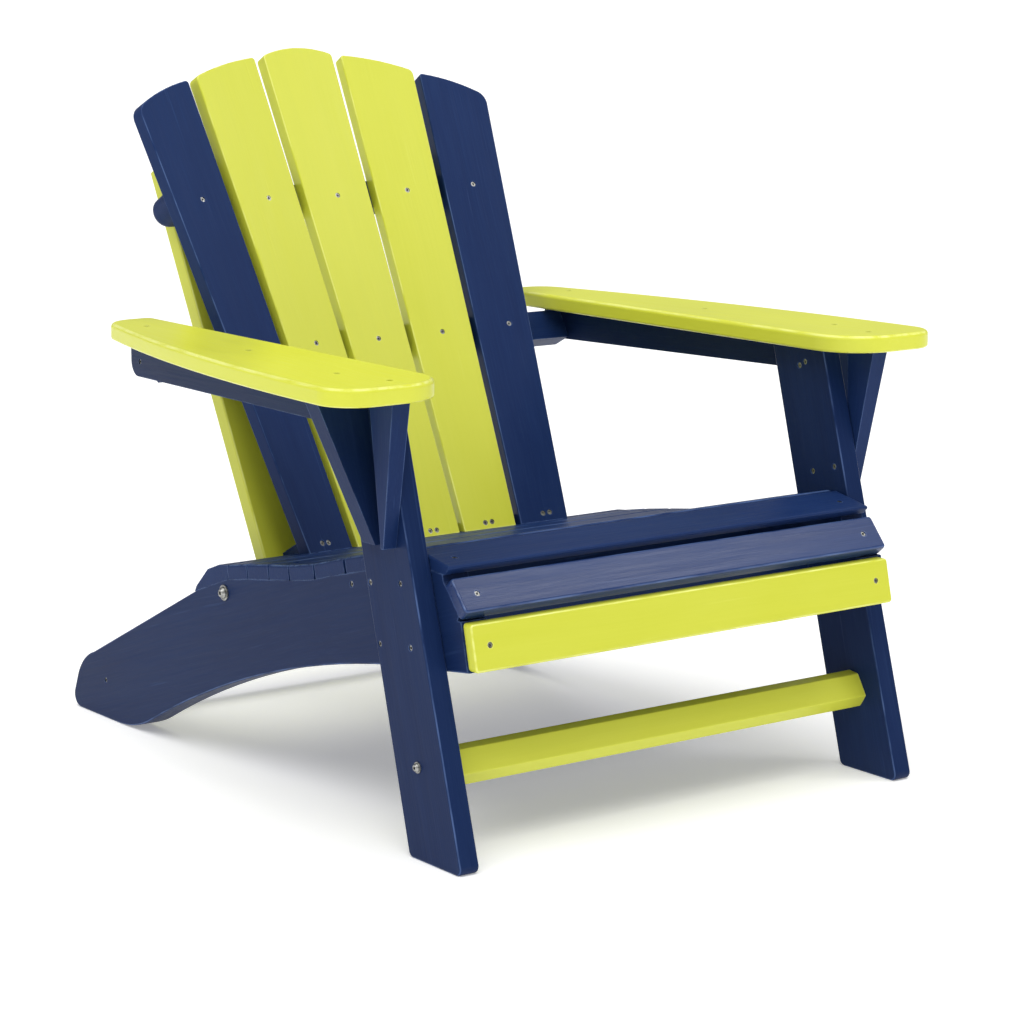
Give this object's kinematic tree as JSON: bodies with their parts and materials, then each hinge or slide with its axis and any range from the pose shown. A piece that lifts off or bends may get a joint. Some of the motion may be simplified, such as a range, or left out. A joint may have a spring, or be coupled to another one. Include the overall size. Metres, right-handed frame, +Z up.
{
  "type": "adirondack chair",
  "caption": "Low garden armchair with raked front legs, sloping slatted seat, fan-shaped reclined back with an arched top and wide flat paddle arms; rigid, does not fold.",
  "frame": {"origin": "on the floor under the middle of the chair's outline", "axes": "+Z up, the chair faces -Y, +X is to the sitter's left; the plane x = 0 is the mirror plane"},
  "size_m": [0.8162, 0.8609, 0.8023],
  "materials": {
    "lime_lumber": "lime green solid plastic lumber with a brushed wood-like grain, satin",
    "navy_lumber": "navy blue solid plastic lumber with a brushed wood-like grain, satin",
    "stainless": "plain stainless fasteners"
  },
  "bodies": {
    "root": {"apron_screws": "stainless", "arm_bracket_left": "navy_lumber", "arm_bracket_right": "navy_lumber", "arm_left": "lime_lumber", "arm_level_cross_rail": "navy_lumber", "arm_rail_left": "navy_lumber", "arm_rail_right": "navy_lumber", "arm_rail_screws": "stainless", "arm_right": "lime_lumber", "arm_screws": "stainless", "arm_wing_left": "navy_lumber", "arm_wing_right": "navy_lumber", "back_post_left": "lime_lumber", "back_post_right": "lime_lumber", "back_slat_centre": "lime_lumber", "back_slat_inner_left": "lime_lumber", "back_slat_inner_right": "lime_lumber", "back_slat_outer_left": "navy_lumber", "back_slat_outer_right": "navy_lumber", "back_slat_screws": "stainless", "bracket_screws": "stainless", "cross_member_screws": "stainless", "foot_bar": "lime_lumber", "foot_bar_bolts": "stainless", "foot_bar_washers": "stainless", "front_apron": "lime_lumber", "front_leg_left": "navy_lumber", "front_leg_right": "navy_lumber", "front_stretcher": "navy_lumber", "leg_screws": "stainless", "lower_cleat": "navy_lumber", "post_screws": "stainless", "rear_deck_board": "navy_lumber", "rear_foot_bar": "navy_lumber", "rear_stretcher": "navy_lumber", "seat_brace": "navy_lumber", "seat_slat_1_nosing": "navy_lumber", "seat_slat_2_front": "navy_lumber", "seat_slat_3": "navy_lumber", "seat_slat_4": "navy_lumber", "seat_slat_5": "navy_lumber", "seat_slat_6": "navy_lumber", "seat_slat_7": "navy_lumber", "seat_slat_8": "navy_lumber", "seat_slat_9": "navy_lumber", "seat_slat_screws": "stainless", "side_rail_left": "navy_lumber", "side_rail_right": "navy_lumber", "stretcher_barrel_nuts": "stainless", "stretcher_bolts": "stainless", "stretcher_washers": "stainless", "upper_cross_rail": "navy_lumber", "wing_screws": "stainless"}
  },
  "joints": []
}
